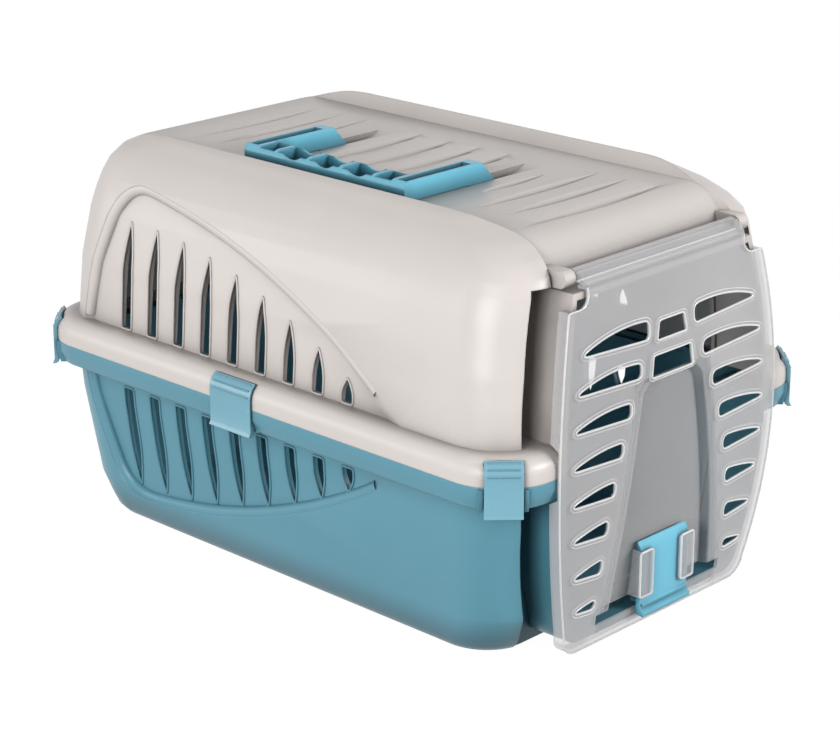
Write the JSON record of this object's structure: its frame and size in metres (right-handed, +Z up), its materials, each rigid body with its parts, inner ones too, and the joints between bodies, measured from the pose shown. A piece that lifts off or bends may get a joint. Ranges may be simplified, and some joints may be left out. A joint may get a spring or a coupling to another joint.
{
  "type": "pet transport carrier",
  "caption": "Hard-shell pet carrier: vented tub and cover clipped at a rolled rim, clear top-hinged front door with a slide latch and a folding carry handle.",
  "frame": {"origin": "middle of the footprint, on the resting surface", "axes": "+Z up, the door faces -Y, +X is to the right for someone who looks at the door from inside the room in front of it"},
  "size_m": [0.324, 0.4652, 0.288],
  "materials": {
    "lower_shell": "satin moulded",
    "upper_shell": "satin moulded",
    "door": "clear glossy",
    "door_latch": "satin moulded",
    "carry_handle": "satin moulded",
    "clips": "satin moulded"
  },
  "bodies": {
    "case": {"lower_shell": "lower_shell", "upper_shell": "upper_shell"},
    "door_leaf": {"door": "door"},
    "latch": {"door_latch": "door_latch"},
    "handle": {"carry_handle": "carry_handle"},
    "clip_left_middle": {"clip_left_middle": "clips"},
    "clip_right_middle": {"clip_right_middle": "clips"},
    "clip_front_left": {"clip_front_left": "clips"},
    "clip_front_right": {"clip_front_right": "clips"},
    "clip_rear_left": {"clip_rear_left": "clips"},
    "clip_rear_right": {"clip_rear_right": "clips"}
  },
  "joints": [
    {"name": "door_hinge", "type": "hinge", "parent": "case", "child": "door_leaf", "pos_m": [0, -0.21235, 0.253], "axis": [-1, 0, 0], "range_deg": [0, 110]},
    {"name": "latch_slide", "type": "slide", "parent": "door_leaf", "child": "latch", "axis": [0, 0, 1], "range_m": [0, 0.0045]},
    {"name": "handle_fold", "type": "hinge", "parent": "case", "child": "handle", "pos_m": [-0.005, 0.00165, 0.2695], "axis": [0, 1, 0], "range_deg": [0, 90]},
    {"name": "clip_left_middle_hinge", "type": "hinge", "parent": "case", "child": "clip_left_middle", "pos_m": [-0.154, 0.01765, 0.1185], "axis": [0, -1, 0], "range_deg": [0, 90]},
    {"name": "clip_right_middle_hinge", "type": "hinge", "parent": "case", "child": "clip_right_middle", "pos_m": [0.154, 0.01765, 0.1185], "axis": [0, 1, 0], "range_deg": [0, 90]},
    {"name": "clip_front_left_hinge", "type": "hinge", "parent": "case", "child": "clip_front_left", "pos_m": [-0.14287, -0.21322, 0.1185], "axis": [0.7071, -0.7071, 0], "range_deg": [0, 90]},
    {"name": "clip_front_right_hinge", "type": "hinge", "parent": "case", "child": "clip_front_right", "pos_m": [0.14287, -0.21322, 0.1185], "axis": [0.7071, 0.7071, 0], "range_deg": [0, 90]},
    {"name": "clip_rear_left_hinge", "type": "hinge", "parent": "case", "child": "clip_rear_left", "pos_m": [-0.14287, 0.21652, 0.1185], "axis": [-0.7071, -0.7071, 0], "range_deg": [0, 90]},
    {"name": "clip_rear_right_hinge", "type": "hinge", "parent": "case", "child": "clip_rear_right", "pos_m": [0.14287, 0.21652, 0.1185], "axis": [-0.7071, 0.7071, 0], "range_deg": [0, 90]}
  ]
}
